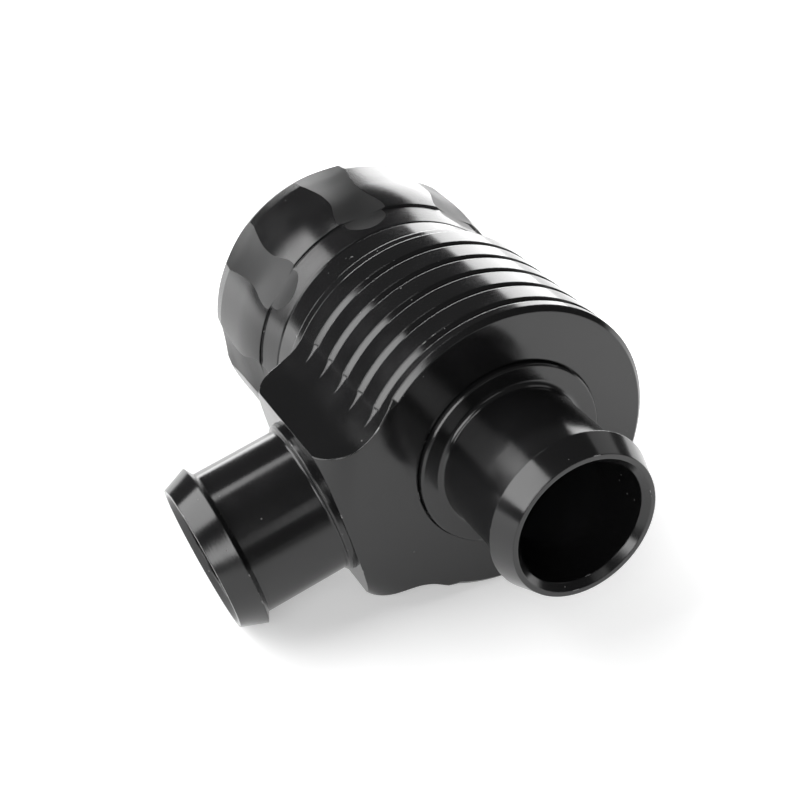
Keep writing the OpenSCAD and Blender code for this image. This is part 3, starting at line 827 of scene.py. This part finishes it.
def white_floor(name, stage):
    """White floor with painted shade in front, which the valve mirrors, and a painted glow towards
    the back and the right that fades its shadow.
    """
    material, tree, skin = shader(name)
    here = object_place(tree)
    to_back = vectors(tree, "DOT_PRODUCT", here, (0, 1, 0))
    to_right = vectors(tree, "DOT_PRODUCT", here, (1, 0, 0))
    cloud = noise(tree, here, Scale=8.0, Detail=2.0)
    pale = tuple(min(1.0, part * FLOOR_PALER) for part in stage.floor)
    white = tint(tree, cloud, (*stage.floor, 1.0), (*pale, 1.0))
    front = spread(tree, to_back, PAINTED_SHADE_PLACE, PAINTED_SHADE_SHARE)
    back = spread(tree, to_back, BACK_PAINTED_GLOW_PLACE, BACK_PAINTED_GLOW_SHARE)
    right = spread(tree, to_right, RIGHT_PAINTED_GLOW_PLACE, RIGHT_PAINTED_GLOW_SHARE)
    painted_glow_near = maths(tree, "MINIMUM", maths(tree, "ADD", back, right), 1.0)
    # Painted light: the floor's glow grows towards the back and the right and fades the shadow
    # there, and painted shade dims it towards the front
    painted_glow = maths(tree, "MULTIPLY", maths(tree, "MULTIPLY", seen_rays(tree), front), painted_glow_near)
    # Painted shade: the floor's colour darkens towards the front
    plug(tree, skin.inputs["Base Color"], tint(tree, front, PAINTED_SHADE_COLOUR, white))
    plug(tree, skin.inputs["Emission Strength"], painted_glow)
    skin.inputs["Emission Color"].default_value = WHITE
    skin.inputs["Roughness"].default_value = 0.9
    skin.inputs["Specular IOR Level"].default_value = 0.1
    return material


def dim_room(name, stage):
    """Room that is dim above the floor where it is seen or mirrored, and fills the shadows."""
    room = bpy.data.worlds.new(name)
    room.use_nodes = True
    tree = room.node_tree
    way = add(tree, "ShaderNodeTexCoord").outputs["Generated"]
    up = vectors(tree, "DOT_PRODUCT", way, (0, 0, 1))
    level = spread(tree, up, HORIZON, (1.0, stage.room))
    seen = seen_rays(tree)
    other = maths(tree, "MULTIPLY", maths(tree, "SUBTRACT", 1.0, seen), stage.fill)
    sky = tree.nodes["Background"]
    plug(tree, sky.inputs["Strength"], maths(tree, "MULTIPLY_ADD", seen, level, other))
    sky.inputs["Color"].default_value = WHITE
    return room


class VALVE_OT_stage(bpy.types.Operator):
    """Set up the floor with its painted shade and painted glow, the soft boxes and the room"""
    bl_idname = "valve.stage"
    bl_label = "Set Up Stage"

    def execute(self, context):
        stage = context.scene.valve.stage
        mesh = bpy.data.meshes.new("floor")
        far = FLOOR_HALF
        mesh.from_pydata([(-far, -far, 0), (far, -far, 0), (far, far, 0), (-far, far, 0)], [],
                         [(0, 1, 2, 3)])
        mesh.materials.append(white_floor("white_floor", stage))
        floor = bpy.data.objects.new("floor", mesh)
        context.scene.collection.objects.link(floor)
        for name, placing in SOFT_BOXES.items():
            soft_box(name, getattr(stage, name), *placing)
        context.scene.world = dim_room("room", stage)
        context.scene.view_settings.view_transform = "Standard"
        return {"FINISHED"}


class VALVE_OT_camera(bpy.types.Operator):
    """Set up the camera on the inlet side, above the side spigot"""
    bl_idname = "valve.camera"
    bl_label = "Set Up Camera"

    def execute(self, context):
        stand = Matrix((CAMERA_RIGHT, -CAMERA_DOWN, -CAMERA_AHEAD)).transposed().to_4x4()
        stand.translation = CAMERA_PLACE
        lens = bpy.data.cameras.new("camera")
        lens.lens = FOCAL_PIXELS * SENSOR_MILLIMETRES / PICTURE_PIXELS
        lens.clip_start = NEAR_CLIP
        camera = bpy.data.objects.new("camera", lens)
        camera.matrix_world = VALVE @ stand
        context.scene.collection.objects.link(camera)
        context.scene.camera = camera
        return {"FINISHED"}


# ---------------------------------------------------------------- panel and steps

class VALVE_PT_steps(bpy.types.Panel):
    """Steps that dress the valve"""
    bl_idname = "VALVE_PT_steps"
    bl_label = "Blow Off Valve"
    bl_space_type = "VIEW_3D"
    bl_region_type = "UI"
    bl_category = "Valve"

    def draw(self, context):
        settings = context.scene.valve
        for step in STEPS:
            self.layout.operator(step.bl_idname)
        for group in (settings.finish, settings.spring, settings.thread, settings.scallops,
                      settings.stage):
            column = self.layout.column()
            for key in group.__annotations__:
                column.prop(group, key)


STEPS = (VALVE_OT_camera, VALVE_OT_black_pieces, VALVE_OT_inner_pieces, VALVE_OT_return_spring,
         VALVE_OT_scalloped_cap, VALVE_OT_cap_thread, VALVE_OT_stage)
CLASSES = (ValveFinish, ValveSpring, ValveThread, ValveScallops, ValveStage, ValveSettings,
           *STEPS, VALVE_PT_steps)


def register():
    """Register the classes and the scene's settings."""
    for each in CLASSES:
        bpy.utils.register_class(each)
    bpy.types.Scene.valve = PointerProperty(type=ValveSettings)


def unregister():
    """Take the settings and the classes away again."""
    del bpy.types.Scene.valve
    for each in reversed(CLASSES):
        bpy.utils.unregister_class(each)


def main():
    """Dress the valve step by step."""
    register()
    bpy.ops.valve.camera()
    bpy.ops.valve.black_pieces()
    bpy.ops.valve.inner_pieces()
    bpy.ops.valve.return_spring()
    bpy.ops.valve.scalloped_cap()
    bpy.ops.valve.cap_thread()
    bpy.ops.valve.stage()
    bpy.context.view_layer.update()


if __name__ == "__main__":
    main()
